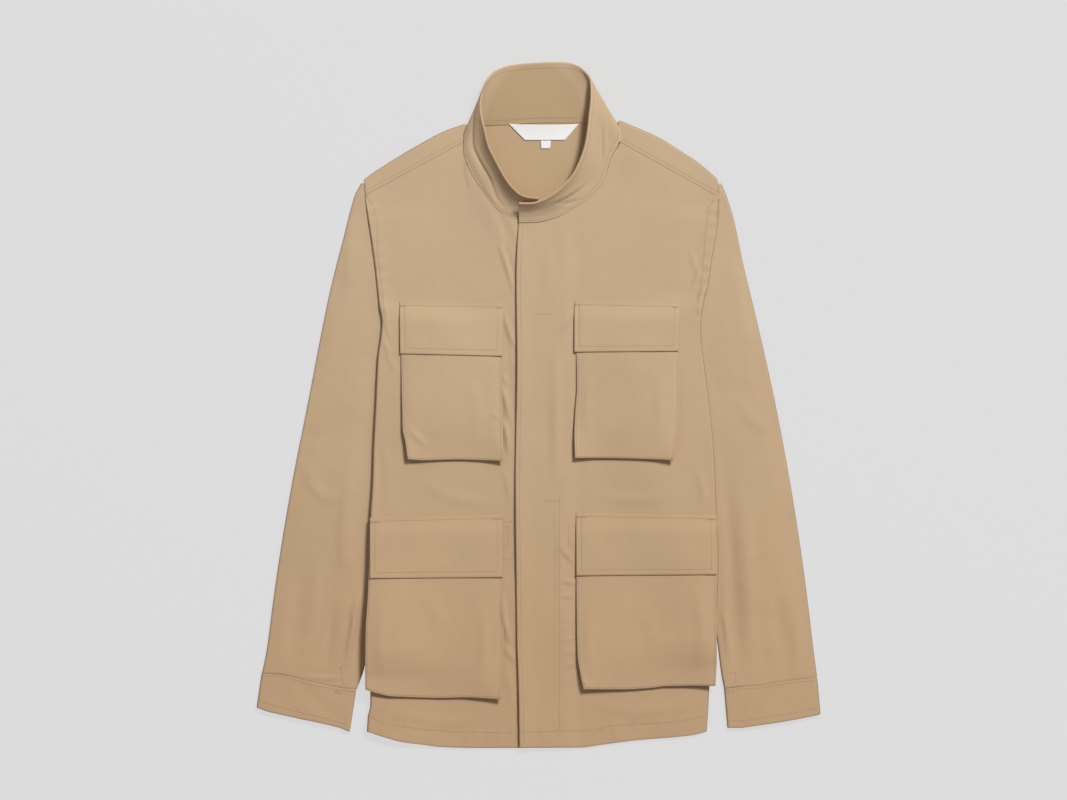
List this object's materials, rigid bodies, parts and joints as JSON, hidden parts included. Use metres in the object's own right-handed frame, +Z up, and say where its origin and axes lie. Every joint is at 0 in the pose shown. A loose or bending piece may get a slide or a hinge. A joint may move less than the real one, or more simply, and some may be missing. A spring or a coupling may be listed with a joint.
{
  "type": "safari jacket laid flat",
  "caption": "Light canvas safari jacket laid flat on its back, arms down: stand collar, fly front, flapped chest and hip pockets, banded cuffs",
  "frame": {"origin": "on the surface the jacket lies on, in the middle of its plan", "axes": "+X to the wearer's left as it lies, +Y from hem to collar, +Z up out of its front"},
  "size_m": [0.671, 0.8159, 0.0209],
  "materials": {
    "canvas": "matte sand-coloured cotton canvas, fine plain weave, soft creases, tone-on-tone topstitching",
    "label": "plain off-white woven tape"
  },
  "bodies": {
    "root": {"back_panel": "canvas", "front_right": "canvas", "front_left": "canvas", "sleeve_right": "canvas", "cuff_right": "canvas", "sleeve_left": "canvas", "cuff_left": "canvas", "collar_outer": "canvas", "collar_inner": "canvas", "bag_chest_right": "canvas", "gusset_chest_right": "canvas", "flap_chest_right": "canvas", "bag_chest_left": "canvas", "gusset_chest_left": "canvas", "flap_chest_left": "canvas", "bag_lower_right": "canvas", "gusset_lower_right": "canvas", "flap_lower_right": "canvas", "bag_lower_left": "canvas", "gusset_lower_left": "canvas", "flap_lower_left": "canvas", "neck_label": "label", "size_tab": "label"}
  },
  "joints": []
}
